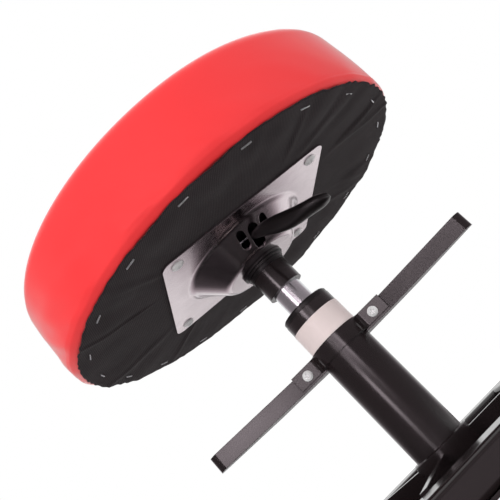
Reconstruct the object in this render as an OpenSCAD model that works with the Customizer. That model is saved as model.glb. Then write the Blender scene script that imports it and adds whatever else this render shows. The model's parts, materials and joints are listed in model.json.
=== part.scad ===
// Creeper seat: padded round stool on a gas column with a square tray base on casters.
// Millimetres, +Z up, floor at z = 0, column axis on the z axis, lever side towards -Y.

/* [Base frame] */
// outer width of the square tray frame
base_w = 310; // [300:1:330]
// width of the frame rails seen from above
rail_w = 40; // [38:1:44]
// height of the frame rails
rail_h = 25.5; // [22:0.5:26]
// wall of the box-section rails
rail_wall = 2; // [1.5:0.1:2.5]
// outside edge radius of the rails
rail_edge_r = 5; // [4:0.1:5.5]
// thickness of the tray floor plate
tray_t = 3; // [2.5:0.1:4]
// corner radius of the tray floor plate
tray_corner_r = 4; // [2:0.5:6]
// thickness of the three upright tray dividers
divider_t = 6; // [4:0.5:7]
// height of the dividers above the tray floor
divider_h = 27.4; // [22:0.1:28]

/* [Column] */
// outside width of the column tube
tube_d = 50; // [48:0.5:52]
// wall of the column tube
tube_wall = 1.8; // [1.6:0.1:2.2]
// length of the column tube
tube_len = 191.3; // [188:0.1:198]
// thickness of the tube's closed end
tube_end_t = 4; // [3:0.5:5]
// outside width of the hub socket around the tube
hub_d = 58; // [57:0.5:62]
// height of the hub socket
hub_h = 34.1; // [30:0.1:36]
// bevel on the hub's top rim
hub_bevel = 1.2; // [0.4:0.1:1.5]
// width of the guide bush flange that caps the tube
cap_d = 49; // [48:0.5:50]
// thickness of the guide bush flange
cap_t = 4.9; // [4.5:0.1:7]
// length of the guide bush inside the tube
bush_len = 58; // [54:1:60]
// height of the blank label band
label_h = 23.4; // [20:0.2:23.4]
// thickness of the blank label band
label_t = 0.2; // [0.1:0.05:0.3]
// angle of column wrapped by the label band
label_wrap = 230; // [200:5:300]

/* [Gas cylinder and rod] */
// outside width of the chromed cylinder
cylinder_d = 28; // [27.6:0.1:28.4]
// wall of the chromed cylinder
cylinder_wall = 1.6; // [1.4:0.1:2]
// chromed length showing between cap and socket at the lowest height
chrome_show = 23.2; // [18:0.2:26]
// how far the seat can rise
lift = 100; // [80:5:100]
// width of the piston rod
rod_d = 10; // [9:0.5:11]
// length of the tapered end of the cylinder
taper_len = 42; // [38:1:44]
// how much the radius shrinks over the tapered end
taper_drop = 1; // [0.8:0.1:1.2]
// width of the valve button on top of the cylinder
button_d = 8; // [7:0.5:9]
// how far the valve button stands out
button_out = 5.5; // [5:0.1:6]
// width of the balls in the ball race
race_ball_d = 5; // [4.5:0.1:5.5]
// number of balls in the ball race
race_balls_n = 9; // [7:1:10]

/* [Seat plate and socket] */
// width of the pressed seat plate, left to right
plate_w = 178; // [170:1:186]
// depth of the pressed seat plate, front to back
plate_d = 172; // [165:1:180]
// sheet thickness of the seat plate
plate_t = 2; // [1.8:0.1:2.2]
// corner radius of the seat plate
plate_corner_r = 9; // [6:0.5:12]
// distance between plate screws, left to right
screw_gap_x = 149; // [146:0.5:152]
// distance between plate screws, front to back
screw_gap_y = 146; // [143:0.5:149]
// length of the slots around the plate screws
screw_slot_len = 13; // [11:0.5:15]
// radius of the pressed dome where it leaves the flat plate
dome_r = 69; // [64:0.5:70]
// depth of the pressed dome below the plate
dome_depth = 24; // [22:0.25:24.5]
// radius of the flat bottom of the dome
dome_flat_r = 36; // [34.5:0.5:37]
// bend radius at the top and bottom of the dome wall
dome_bend_r = 10; // [8:0.5:10]
// width of the two outer windows in the dome
window_w = 8; // [7:0.25:8.5]
// width of the middle window, where the lever comes out
lever_window_w = 11; // [11:0.25:12]
// width of the webs between the windows
web_w = 3; // [2.5:0.25:4]
// outside width of the socket tube
socket_d = 36.4; // [35.6:0.2:37.4]
// length of the socket tube below the dome
socket_len = 32.3; // [31:0.1:36]
// outside width of the large bead of the collar
collar_d = 45; // [42:0.5:47]

/* [Lever] */
// width of the height lever at its paddle
paddle_w = 22; // [18:0.5:23]
// thickness of the lever
lever_t = 8.5; // [6:0.25:8.5]
// distance from the column axis to the lever's pivot rod
pivot_out = 40; // [39.5:0.1:40.5]
// width of the pivot rod
pivot_d = 3; // [2.6:0.1:3.4]

/* [Cushion] */
// overall width of the cushion
seat_d = 374.6; // [364:0.2:386]
// height of the straight cushion wall
wall_h = 58.5; // [52:0.5:68]
// radius of the rounded top edge
shoulder_r = 18; // [14:0.5:22]
// rise of the crown above the rounded edge
crown_h = 5; // [3:0.5:8]
// radius of the rolled lip at the bottom rim
lip_r = 4; // [3.5:0.1:4.5]
// how far the wall swells out at half height
wall_swell = 1.2; // [0.6:0.1:2]
// thickness of the vinyl cover
cover_t = 1; // [0.8:0.05:1.1]
// thickness of the black dust cover cloth
cloth_t = 0.8; // [0.6:0.05:0.8]
// thickness of the plywood seat board
board_t = 12; // [11:0.5:15]
// number of staples around the dust cover
staples_n = 18; // [12:1:24]

/* [Cross bar and strap] */
// how far the cross bar's middle is below the tube's top
bar_drop = 42.9; // [42:0.05:44.5]
// height of the cross bar
bar_h = 15.6; // [15:0.1:17]
// how far the strap's middle is below the tube's top
strap_drop = 41.05; // [40:0.05:42]
// height of the strap
strap_h = 15; // [14:0.1:15]
// reach of each arm from the column axis, square to the view
arm_reach = 151; // [142:1:158]
// how far the arm tips are swept forward
arm_sweep = 21; // [16:0.5:24]
// depth of the arm beside the column
arm_root_depth = 22; // [19:0.5:24]
// bend radius of the turned-back arm tips
arm_tip_r = 8; // [6:0.25:9]
// sheet thickness of the cross bar
bar_t = 2; // [1.8:0.1:2.2]
// sheet thickness of the strap
strap_t = 1.6; // [1.4:0.1:2]
// length of each strap ear
ear_len = 26.5; // [24:0.5:28]
// turn of the cross bar about the column, as clamped
bar_turn = -20.6; // [-45:0.1:45]

/* [Casters] */
// height from the floor to the underside of the tray
caster_h = 65; // [64.5:0.25:68]
// width of the wheel over the tyre
wheel_d = 50; // [48:0.5:50]
// tread width of the wheel
wheel_w = 18; // [16:0.5:19]
// thickness of the rubber tyre
tyre_t = 6; // [5:0.25:7]
// distance from the caster's upright pin back to its axle
trail = 17; // [16:0.25:18]
// turn of the casters as the stool stands
caster_turn = 35; // [0:5:355]
// width of the threaded caster stem
stem_d = 10; // [9:0.5:11]

/* [Hidden] */
$fn = 96;
slip_gap = 0.05;
free_gap = 0.4;
fit_gap = 0.1;
soft_gap = 0.3;
sheet_gap = 0.02;
arc_steps = 6;
wave_points = 6;
quarter_turn = 90;
half_turn = 180;
full_turn = 360;
third_turn = full_turn / 3;
half_share = 0.5;
dome_share = 0.65;
hex_sides = 6;

z_tray = caster_h;
z_rail = z_tray + tray_t;
z_rail_top = z_rail + rail_h;
z_hub_top = z_rail + hub_h;
z_tube_top = z_rail + tube_len;
z_cap_top = z_tube_top + cap_t;
z_socket = z_cap_top + chrome_show;
z_dome = z_socket + socket_len;
z_plate = z_dome + dome_depth;
z_plate_top = z_plate + plate_t;
z_board = z_plate_top + cloth_t;
z_board_top = z_board + board_t;

base_r = base_w / 2;
rail_in = base_r - rail_w;
rail_mid = base_r - rail_w / 2;
tube_r = tube_d / 2;
tube_bore_r = tube_r - tube_wall;
hub_r = hub_d / 2;
hub_bore_r = tube_r + slip_gap;
cap_r = cap_d / 2;
cylinder_r = cylinder_d / 2;
cylinder_bore_r = cylinder_r - cylinder_wall;
rod_r = rod_d / 2;
rod_hole_r = rod_r + slip_gap;
service_hole_r = 20;

race_t = 1.5;
race_in_r = 6.2;
race_out_r = 14;
race_mid_r = (race_in_r + race_out_r) / 2;
z_race = z_rail + tube_end_t;
z_balls = z_race + race_t + race_ball_d / 2;
z_upper_race = z_balls + race_ball_d / 2;
z_shoulder = z_upper_race + race_t;
shoulder_rod_r = 9;
shoulder_h = 4;
clip_t = 1.2;
clip_r = 9;
clip_groove_r = 4;
clip_drop = 0.3;
rod_tail = 3.5;
foot_gap = 13.2;
z_cylinder = z_shoulder + shoulder_h + foot_gap;
cylinder_above_dome = 13;
z_cylinder_top = z_dome + plate_t + cylinder_above_dome;
gland_t = 12;
piston_t = 8;
piston_gap = 3.6;
z_piston = z_cylinder + lift + gland_t + piston_gap;
valve_t = 14;
bush_r = tube_bore_r - slip_gap;
bush_bore_r = cylinder_r + slip_gap;

socket_r = socket_d / 2;
collar_r = collar_d / 2;
bead_h = 2.6;
ring_h = 1.3;
bead_step = 0.3;
collar_mid_r = socket_r + (collar_r - socket_r) * half_share;
collar_low_r = socket_r + (collar_r - socket_r) / 4;
socket_inside = 5.5;
z_socket_top = z_dome + plate_t + socket_inside;
dome_hole_r = socket_r + slip_gap;
window_step = 7.5;
lever_window_step = 3;
window_edge = 10.5;
window_in = dome_flat_r + window_step;
lever_window_in = dome_flat_r + lever_window_step;
window_out = dome_r - window_edge;

board_r = seat_d / 2 - lip_r - cover_t - free_gap - free_gap;
seat_r = seat_d / 2;
wrap_in = 24;
wrap_r = seat_r - wrap_in;
cloth_in = 4.6;
cloth_r = seat_r - cloth_in;
cloth_wave = 1.1;
cloth_waves = 26;
cloth_ramp = 14;
cloth_clear_r = wrap_r - cloth_ramp;
staple_in = 13;
staple_r = seat_r - staple_in;
staple_len = 10;
staple_wire = 0.9;
staple_deep = 7;
z_lip = z_board - cover_t;
screw_r = 3;
screw_head_r = 6;
screw_head_h = 3.2;
screw_recess_w = 1.2;
screw_tip = 3;
tee_r = 4.2;
tee_flange_r = 10;
tee_flange_t = 1.4;
z_screw_tip = z_board_top - screw_tip;

pivot_above_dome = 15.8;
z_pivot = z_dome + pivot_above_dome;
pivot_r = pivot_d / 2;
pivot_hole_r = pivot_r + slip_gap;
pivot_half = 22;
boss_r = 4.2;
cheek_t = 2;
cheek_in = 18.5;
cheek_half = 6;
lever_root_w = 9.4;
z_button_top = z_cylinder_top + button_out;
finger_t = 4;
finger_gap = 0.15;
finger_over = 5;

// The lever in plan: a tight bend out of the window, then a long sweep that widens to the tip.
root_len = 10;
bend_r = 14;
bend_turn = 45;
sweep_r = 158;
sweep_turn = 17.5;
bend_end = [bend_r * (1 - cos(bend_turn)), -pivot_out - root_len - bend_r * sin(bend_turn)];
sweep_at = bend_end + sweep_r * [sin(bend_turn), cos(bend_turn)];
flare = (paddle_w - lever_root_w) / 4;
flare_shift = flare / sin(half_share * sweep_turn);
flare_heading = half_turn + bend_turn + half_share * sweep_turn + quarter_turn;
flare_away = flare_shift * [cos(flare_heading), sin(flare_heading)];
tip_at = sweep_at + sweep_r * [cos(half_turn + bend_turn + sweep_turn), sin(half_turn + bend_turn + sweep_turn)];
// The lever seen from the side: an arc that droops below the pivot.
droop_r = 263;
droop_start_turn = 31.8;
droop_from_pivot = 1.3;
droop_at = [droop_r * sin(droop_start_turn), droop_r * cos(droop_start_turn) - droop_from_pivot];
reach_turn = -43.9;

bar_low = z_tube_top - bar_drop - bar_h / 2;
bar_high = bar_low + bar_h;
strap_low = z_tube_top - strap_drop - strap_h / 2;
strap_high = strap_low + strap_h;
clamp_rise = 1.2;
z_clamp = z_tube_top - bar_drop + clamp_rise;
z_label = strap_high + sheet_gap;
strap_in_r = tube_r + sheet_gap;
strap_out_r = strap_in_r + strap_t;
saddle_out_r = strap_in_r + bar_t;
ear_face = 4;
bar_face = ear_face - strap_t;
ear_start = strap_out_r;
ear_end = ear_start + ear_len;
clamp_x = 40;
clamp_screw_r = 2.5;
clamp_head_r = 4.8;
clamp_head_h = 3;
clamp_nut_r = 4.6;
clamp_nut_t = 4;
ear_bend_r = 5;
ear_bend_x = sqrt(pow(strap_out_r + ear_bend_r, 2) - pow(ear_face + ear_bend_r, 2));
ear_bend_share = strap_out_r / (strap_out_r + ear_bend_r);
ear_touch = ear_bend_share * [ear_bend_x, -ear_face - ear_bend_r];
arm_tip_x = arm_reach - arm_tip_r;
arm_tip_y = arm_tip_r - bar_face - arm_sweep;
arm_knee_share = 0.36;
// Plan outline of one arm: swept forward and narrowing to a turned-back tip.
arm_plan = concat(
    [[tube_r * half_share, -bar_face], [ear_end, -bar_face]],
    arc(arm_tip_x, arm_tip_y, arm_tip_r, -quarter_turn, 0),
    [
        [ear_end + (arm_tip_x - ear_end) * arm_knee_share, arm_root_depth * half_share - bar_face],
        [tube_r + bar_t, arm_root_depth - bar_face],
        [tube_r * half_share, arm_root_depth - bar_face]
    ]
);
// The room inside one arm, open to the back from the saddle to the closed tip.
arm_pocket = concat(
    [[saddle_out_r + bar_t, bar_t - bar_face], [ear_end, bar_t - bar_face]],
    arc(arm_tip_x, arm_tip_y, arm_tip_r - bar_t, -quarter_turn, 0),
    [[arm_reach - bar_t, arm_root_depth], [saddle_out_r + bar_t, arm_root_depth]]
);

wheel_r = wheel_d / 2;
z_axle = wheel_r;
core_r = wheel_r - tyre_t;
axle_r = 4;
axle_bore_r = axle_r + slip_gap;
fork_t = 2;
wheel_side_gap = 1.5;
fork_in = wheel_w / 2 + wheel_side_gap;
fork_boss_r = 7.5;
cup_t = 5;
cup_r = 17;
z_cup = caster_h - cup_t;
fork_plate_t = 2.6;
fork_plate_r = 16;
z_fork_top = z_cup - free_gap;
z_fork = z_fork_top - fork_plate_t;
pin_r = 5;
pin_head_r = 8;
pin_head_t = 3;
z_pin_head = z_fork - free_gap - pin_head_t;
stem_r = stem_d / 2;
stem_up = 12;
stem_nut_t = 7;
stem_nut_r = 9;
caster_at = rail_mid;
caster_corners = [[-1, -1], [1, -1], [-1, 1], [1, 1]];
axle_head_t = 3;
axle_head_r = 6;

vinyl_red = [0.86, 0.11, 0.12];
foam_cream = [0.93, 0.88, 0.72];
plywood_tan = [0.78, 0.62, 0.42];
cloth_black = [0.1, 0.1, 0.1];
sheet_steel = [0.8, 0.79, 0.79];
bright_zinc = [0.78, 0.8, 0.82];
bright_chrome = [0.88, 0.89, 0.9];
powder_black = [0.09, 0.09, 0.1];
plastic_black = [0.07, 0.07, 0.08];
paper_white = [0.93, 0.89, 0.88];
rubber_grey = [0.16, 0.16, 0.17];
core_grey = [0.32, 0.33, 0.34];
plain_steel = [0.6, 0.61, 0.62];

// Points along an arc around (cx, cz).
function arc(cx, cz, r, from, to) = [
    for (i = [0 : arc_steps])
        let (a = from + (to - from) * i / arc_steps)
        [cx + r * cos(a), cz + r * sin(a)]
];

// The same list of points read backwards.
function backwards(list) = [for (i = [len(list) - 1 : -1 : 0]) list[i]];

// Outline of a rounded box, as a flat shape.
module rounded_box(w, h, r) {
    square([w - 2 * r, h], center = true);
    square([w, h - 2 * r], center = true);
    for (x = [-1, 1], y = [-1, 1])
        translate([x * (w / 2 - r), y * (h / 2 - r)]) circle(r);
}

// A pipe standing on z = low.
module pipe(outer, inner, low, high) {
    translate([0, 0, low])
    linear_extrude(high - low)
    difference() {
        circle(outer);
        circle(inner);
    }
}

// A solid disc standing on z = low.
module disc(r, low, high) {
    translate([0, 0, low]) cylinder(r = r, h = high - low);
}

// One mitred box-section rail along the -Y side.
module rail_blank() {
    intersection() {
        translate([-base_r, -rail_mid, z_rail + rail_h / 2])
        rotate([quarter_turn, 0, quarter_turn])
        linear_extrude(base_w)
        difference() {
            rounded_box(rail_w, rail_h, rail_edge_r);
            rounded_box(rail_w - 2 * rail_wall, rail_h - 2 * rail_wall, rail_edge_r - rail_wall);
        }
        translate([0, 0, z_rail])
        linear_extrude(rail_h)
        polygon([[-base_r, -base_r], [base_r, -base_r], [rail_in, -rail_in], [-rail_in, -rail_in]]);
    }
}

// Stem holes through the lower wall of the rails.
module stem_holes() {
    for (c = caster_corners)
        translate([c[0] * caster_at, c[1] * caster_at, 0])
        disc(stem_r + slip_gap, z_tray - tray_t, z_rail + rail_h / 2);
}

module rail(turn) {
    color(powder_black)
    difference() {
        rotate([0, 0, turn]) rail_blank();
        stem_holes();
    }
}

module front_rail() rail(0);
module right_rail() rail(quarter_turn);
module back_rail() rail(half_turn);
module left_rail() rail(-quarter_turn);

// Flat plate under the rails: the floor of the tool tray.
module tray_floor() {
    color(powder_black)
    difference() {
        translate([0, 0, z_tray])
        linear_extrude(tray_t)
        rounded_box(base_w, base_w, tray_corner_r);
        disc(service_hole_r, z_tray - tray_t, z_rail + tray_t);
        stem_holes();
    }
}

// Three upright plates from the hub to the rails.
module tray_dividers() {
    color(powder_black)
    intersection() {
        union()
        for (turn = [0, third_turn, -third_turn])
            rotate([0, 0, turn])
            translate([0, -divider_t / 2, z_rail])
            cube([base_r, divider_t, divider_h]);
        translate([0, 0, z_rail])
        linear_extrude(divider_h)
        difference() {
            square([2 * rail_in, 2 * rail_in], center = true);
            circle(hub_r);
        }
    }
}

// Socket that holds the foot of the column.
module hub_socket() {
    color(powder_black)
    rotate_extrude()
    polygon([
        [hub_bore_r, z_rail], [hub_r, z_rail], [hub_r, z_hub_top - hub_bevel],
        [hub_r - hub_bevel, z_hub_top], [hub_bore_r, z_hub_top]
    ]);
}

// Outer tube of the gas column, closed at the foot.
module column_tube() {
    color(powder_black)
    rotate_extrude()
    polygon([
        [rod_hole_r, z_rail], [tube_r, z_rail], [tube_r, z_tube_top], [tube_bore_r, z_tube_top],
        [tube_bore_r, z_rail + tube_end_t], [rod_hole_r, z_rail + tube_end_t]
    ]);
}

// Plastic bush that guides the cylinder, with a flange closing the tube.
module guide_bush() {
    color(plastic_black)
    rotate_extrude()
    polygon([
        [bush_bore_r, z_tube_top - bush_len], [bush_r, z_tube_top - bush_len], [bush_r, z_tube_top],
        [cap_r, z_tube_top], [cap_r, z_cap_top - hub_bevel], [cap_r - hub_bevel, z_cap_top],
        [bush_bore_r, z_cap_top]
    ]);
}

// Thin pale band round the column, left blank.
module blank_label() {
    color(paper_white)
    translate([0, 0, z_label])
    rotate([0, 0, bar_turn - quarter_turn - label_wrap / 2])
    rotate_extrude(angle = label_wrap)
    translate([tube_r + sheet_gap, 0]) square([label_t, label_h]);
}

// Turns its children into the plane of the clamped cross bar.
module on_bar() {
    rotate([0, 0, bar_turn]) children();
}

// Bent strap in front of the column, with a screw ear on each side.
module strap() {
    color(powder_black)
    on_bar()
    difference() {
        translate([0, 0, strap_low])
        linear_extrude(strap_h)
        difference() {
            union() {
                intersection() {
                    circle(strap_out_r);
                    translate([-base_r, -base_r]) square([base_w, base_r - bar_face]);
                }
                for (side = [-1, 1])
                    translate([side * (ear_end / 2), -ear_face + strap_t / 2])
                    square([ear_end, strap_t], center = true);
                for (side = [0, 1])
                    mirror([side, 0]) ear_bend();
            }
            circle(strap_in_r);
        }
        clamp_holes();
    }
}

// Rounded inside corner between the strap's ring and its right ear, in plan.
module ear_bend() {
    difference() {
        polygon([ear_touch, [ear_bend_x, -ear_face], [ear_bend_x, -bar_face], [ear_touch[0], -bar_face]]);
        translate([ear_bend_x, -ear_face - ear_bend_r]) circle(ear_bend_r);
    }
}

// Holes for the two clamp screws.
module clamp_holes() {
    for (side = [-1, 1])
        translate([side * clamp_x, 0, z_clamp])
        rotate([quarter_turn, 0, 0])
        cylinder(r = clamp_screw_r + slip_gap, h = 2 * ear_len, center = true);
}

// Pressed channel with two tapering arms and a half-round saddle behind the column.
module cross_bar() {
    color(powder_black)
    on_bar()
    difference() {
        translate([0, 0, bar_low])
        linear_extrude(bar_h)
        difference() {
            union() {
                polygon(concat(arm_plan, [for (p = backwards(arm_plan)) [-p[0], p[1]]]));
                intersection() {
                    circle(saddle_out_r);
                    translate([-base_r, -bar_face]) square([base_w, base_r]);
                }
            }
            circle(strap_in_r);
        }
        translate([0, 0, bar_low + bar_t])
        linear_extrude(bar_h - 2 * bar_t)
        for (side = [0, 1])
            mirror([side, 0, 0]) polygon(arm_pocket);
        clamp_holes();
    }
}

// Pan-head screws through the strap ears into the bar.
module clamp_screws() {
    color(bright_zinc)
    on_bar()
    for (side = [-1, 1])
        translate([side * clamp_x, -ear_face, z_clamp])
        rotate([quarter_turn, 0, 0])
        union() {
            pan_head(clamp_head_r, clamp_head_h);
            translate([0, 0, -ear_face - clamp_nut_t])
            cylinder(r = clamp_screw_r, h = ear_face + clamp_nut_t);
        }
}

// Domed screw head standing on z = 0, with a cross-shaped driver recess.
module pan_head(head_r, head_h) {
    rise = head_h * dome_share;
    ball_r = (head_r * head_r + rise * rise) / (2 * rise);
    difference() {
        intersection() {
            cylinder(r = head_r, h = head_h);
            translate([0, 0, head_h - ball_r]) sphere(ball_r);
        }
        for (turn = [0, quarter_turn])
            rotate([0, 0, turn])
            translate([0, 0, head_h])
            cube([head_r, screw_recess_w, head_h], center = true);
    }
}

module clamp_nuts() {
    color(bright_zinc)
    on_bar()
    for (side = [-1, 1])
        translate([side * clamp_x, -bar_face + bar_t + clamp_nut_t, z_clamp])
        rotate([quarter_turn, 0, 0])
        difference() {
            cylinder(r = clamp_nut_r, h = clamp_nut_t, $fn = hex_sides);
            translate([0, 0, -clamp_nut_t])
            cylinder(r = clamp_screw_r + slip_gap, h = 3 * clamp_nut_t);
        }
}

// Lower ring of the ball race, resting in the closed end of the tube.
module lower_race() {
    color(plain_steel)
    pipe(race_out_r, race_in_r, z_race, z_race + race_t);
}

module upper_race() {
    color(plain_steel)
    pipe(race_out_r, race_in_r, z_upper_race, z_shoulder);
}

module race_balls() {
    color(bright_chrome)
    for (i = [0 : race_balls_n - 1])
        rotate([0, 0, i * full_turn / race_balls_n])
        translate([race_mid_r, 0, z_balls])
        sphere(race_ball_d / 2);
}

// Rod that the cylinder climbs, held at the foot by a spring clip.
module piston_rod() {
    color(bright_chrome)
    rotate_extrude()
    polygon([
        [0, z_rail - rod_tail], [rod_r, z_rail - rod_tail],
        [rod_r, z_rail - clip_drop - clip_t], [clip_groove_r, z_rail - clip_drop - clip_t],
        [clip_groove_r, z_rail - clip_drop], [rod_r, z_rail - clip_drop],
        [rod_r, z_shoulder], [shoulder_rod_r, z_shoulder], [shoulder_rod_r, z_shoulder + shoulder_h],
        [rod_r, z_shoulder + shoulder_h], [rod_r, z_piston], [0, z_piston]
    ]);
}

module rod_clip() {
    color(plain_steel)
    translate([0, 0, z_rail - clip_drop - clip_t])
    linear_extrude(clip_t)
    difference() {
        circle(clip_r);
        circle(clip_groove_r);
        translate([0, -clip_groove_r]) square([2 * clip_r, 2 * clip_groove_r]);
    }
}

module piston() {
    color(plain_steel)
    disc(cylinder_bore_r - slip_gap, z_piston, z_piston + piston_t);
}

// Chromed cylinder with a tapered upper end.
module gas_cylinder() {
    color(bright_chrome)
    rotate_extrude()
    polygon([
        [cylinder_bore_r, z_cylinder], [cylinder_r, z_cylinder], [cylinder_r, z_cylinder_top - taper_len],
        [cylinder_r - taper_drop, z_cylinder_top], [cylinder_bore_r - taper_drop, z_cylinder_top],
        [cylinder_bore_r - taper_drop, z_cylinder_top - valve_t],
        [cylinder_bore_r, z_cylinder_top - taper_len]
    ]);
}

// Plug with the rod seal at the foot of the cylinder.
module rod_gland() {
    color(plastic_black)
    pipe(cylinder_bore_r - sheet_gap, rod_hole_r, z_cylinder, z_cylinder + gland_t);
}

// Plug with the gas valve at the top of the cylinder.
module valve_block() {
    color(plain_steel)
    pipe(cylinder_bore_r - taper_drop - sheet_gap, button_d / 2 + slip_gap,
        z_cylinder_top - valve_t, z_cylinder_top);
}

module valve_button() {
    color(plain_steel)
    disc(button_d / 2, z_cylinder_top - valve_t, z_button_top);
}

// Black socket tube with a tapered bore gripping the cylinder.
module socket_tube() {
    color(powder_black)
    rotate_extrude()
    polygon([
        [socket_bore(z_socket), z_socket], [socket_r, z_socket], [socket_r, z_socket_top],
        [socket_bore(z_socket_top), z_socket_top],
        [socket_bore(z_cylinder_top - taper_len), z_cylinder_top - taper_len]
    ]);
}

// Radius of the tapered bore at a height.
function socket_bore(z) = cylinder_r + slip_gap
    - taper_drop * max(0, z - z_cylinder_top + taper_len) / taper_len;

// Ring of rolled beads where the socket tube enters the dome.
module collar_ring() {
    color(plastic_black)
    rotate_extrude()
    difference() {
        union() {
            translate([0, z_dome - bead_h]) square([collar_r - bead_step, bead_h]);
            translate([0, z_dome - bead_h + bead_step]) square([collar_r, bead_h - 2 * bead_step]);
            translate([0, z_dome - 2 * bead_h]) square([collar_mid_r, bead_h]);
            translate([0, z_dome - 3 * bead_h]) square([socket_r + 2 * bead_step, bead_h]);
            translate([0, z_dome - 3 * bead_h - ring_h]) square([collar_low_r, ring_h]);
        }
        square([socket_r + sheet_gap, z_dome]);
    }
}

// Section line of the dome's lower face, from the flat bottom out to the plate.
function dome_line(lift_by) = concat(
    arc(dome_flat_r, z_dome + lift_by + dome_bend_r, dome_bend_r, -quarter_turn, -quarter_turn / 2),
    arc(dome_r, z_plate + lift_by - dome_bend_r, dome_bend_r, quarter_turn + quarter_turn / 2, quarter_turn)
);

// Flat plate with the dome pressed into its middle and three windows on the lever side.
module seat_plate() {
    color(sheet_steel)
    difference() {
        union() {
            translate([0, 0, z_plate])
            linear_extrude(plate_t)
            difference() {
                rounded_box(plate_w, plate_d, plate_corner_r);
                circle(dome_r);
            }
            rotate_extrude()
            polygon(concat(
                [[dome_hole_r, z_dome]], dome_line(0),
                backwards(dome_line(plate_t)), [[dome_hole_r, z_dome + plate_t]]
            ));
        }
        screw_slots(z_plate - plate_t, z_plate_top + plate_t);
        dome_windows();
    }
}

// Slotted holes at the four plate screws.
module screw_slots(low, high) {
    for (x = [-1, 1], y = [-1, 1])
        translate([x * screw_gap_x / 2, y * screw_gap_y / 2, low])
        linear_extrude(high - low)
        union() {
            square([2 * (screw_r + fit_gap), screw_slot_len - 2 * screw_r], center = true);
            for (end = [-1, 1])
                translate([0, end * (screw_slot_len / 2 - screw_r)])
                circle(screw_r + fit_gap);
        }
}

// Windows with round lower ends, cut straight up through the dome wall.
module dome_windows() {
    window(0, lever_window_w, lever_window_in);
    for (side = [-1, 1])
        window(side * (lever_window_w / 2 + web_w + window_w / 2), window_w, window_in);
}

module window(x, w, start) {
    translate([x, 0, z_dome - plate_t])
    linear_extrude(dome_depth + plate_t - free_gap)
    union() {
        translate([0, -(start + window_out) / 2])
        square([w, window_out - start - w], center = true);
        for (y = [start + w / 2, window_out - w / 2])
            translate([0, -y]) circle(w / 2);
    }
}

module plate_screws() {
    color(bright_zinc)
    for (x = [-1, 1], y = [-1, 1])
        translate([x * screw_gap_x / 2, y * screw_gap_y / 2, 0])
        union() {
            translate([0, 0, z_plate])
            mirror([0, 0, 1])
            pan_head(screw_head_r, screw_head_h);
            disc(screw_r, z_plate, z_screw_tip);
        }
}

// Flanged nuts pressed into the top of the seat board.
module tee_nuts() {
    color(bright_zinc)
    for (x = [-1, 1], y = [-1, 1])
        translate([x * screw_gap_x / 2, y * screw_gap_y / 2, 0])
        difference() {
            union() {
                disc(tee_flange_r, z_board_top, z_board_top + tee_flange_t);
                disc(tee_r, z_board + screw_tip, z_board_top);
            }
            disc(screw_r + sheet_gap, z_board, z_board_top + 2 * tee_flange_t);
        }
}

// Room above the dome sheet, used to trim parts that stand in the dome.
module inside_dome() {
    rotate_extrude()
    polygon(concat(
        [[0, z_dome + plate_t + sheet_gap]], dome_line(plate_t + sheet_gap),
        [[dome_r, z_plate_top], [0, z_plate_top]]
    ));
}

// Two cheeks standing in the dome that carry the pivot rod.
module lever_bracket() {
    color(sheet_steel)
    difference() {
        intersection() {
            for (side = [-1, 1])
                translate([side * (cheek_in + cheek_t / 2), -pivot_out, z_dome + dome_depth / 2])
                cube([cheek_t, 2 * cheek_half, dome_depth], center = true);
            inside_dome();
            disc(dome_r, z_dome, z_pivot + boss_r);
        }
        translate([0, -pivot_out, z_pivot])
        rotate([0, quarter_turn, 0])
        cylinder(r = pivot_hole_r, h = 3 * cheek_in, center = true);
    }
}

module pivot_rod() {
    color(bright_chrome)
    translate([0, -pivot_out, z_pivot])
    rotate([0, quarter_turn, 0])
    cylinder(r = pivot_r, h = 2 * pivot_half, center = true);
}

// A disc segment between two angles, as a flat wedge.
module wedge(from, to, r) {
    mid = (from + to) / 2;
    polygon([
        [0, 0], [r * cos(from), r * sin(from)], [r * cos(mid), r * sin(mid)], [r * cos(to), r * sin(to)]
    ]);
}

// Outline of the lever seen from above.
module lever_plan() {
    sweep_from = half_turn + bend_turn;
    translate([-lever_root_w / 2, -pivot_out - root_len])
    square([lever_root_w, root_len]);
    translate([bend_r, -pivot_out - root_len])
    intersection() {
        difference() {
            circle(bend_r + lever_root_w / 2);
            circle(bend_r - lever_root_w / 2);
        }
        wedge(half_turn, sweep_from, 2 * bend_r + lever_root_w);
    }
    intersection() {
        difference() {
            translate(sweep_at + flare_away) circle(sweep_r + lever_root_w / 2 + flare);
            translate(sweep_at - flare_away) circle(sweep_r - lever_root_w / 2 - flare);
        }
        translate(sweep_at)
        wedge(sweep_from, sweep_from + sweep_turn, 2 * sweep_r);
    }
    translate(tip_at) circle(paddle_w / 2);
}

// Drooping band that gives the lever its thickness, seen from the side.
module lever_side() {
    translate(droop_at)
    difference() {
        circle(droop_r + lever_t / 2);
        circle(droop_r - lever_t / 2);
    }
}

// Height lever: finger over the valve button, boss on the pivot rod, curved drooping paddle.
module height_lever() {
    color(plastic_black)
    difference() {
        union() {
            intersection() {
                translate([0, 0, z_dome - dome_depth])
                linear_extrude(2 * dome_depth) lever_plan();
                translate([0, -pivot_out, z_pivot])
                rotate([0, 0, reach_turn])
                rotate([quarter_turn, 0, 0])
                linear_extrude(sweep_r, center = true)
                lever_side();
            }
            translate([0, -pivot_out, z_pivot])
            rotate([0, quarter_turn, 0])
            cylinder(r = boss_r, h = lever_root_w, center = true);
            translate([-lever_root_w / 2, -pivot_out, z_button_top + finger_gap])
            cube([lever_root_w, pivot_out + finger_over, finger_t]);
            translate([-lever_root_w / 2, -pivot_out - boss_r / 2, z_pivot])
            cube([lever_root_w, boss_r, z_button_top + finger_gap + finger_t - z_pivot]);
        }
        translate([0, -pivot_out, z_pivot])
        rotate([0, quarter_turn, 0])
        cylinder(r = pivot_hole_r, h = 2 * lever_root_w, center = true);
    }
}

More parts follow.
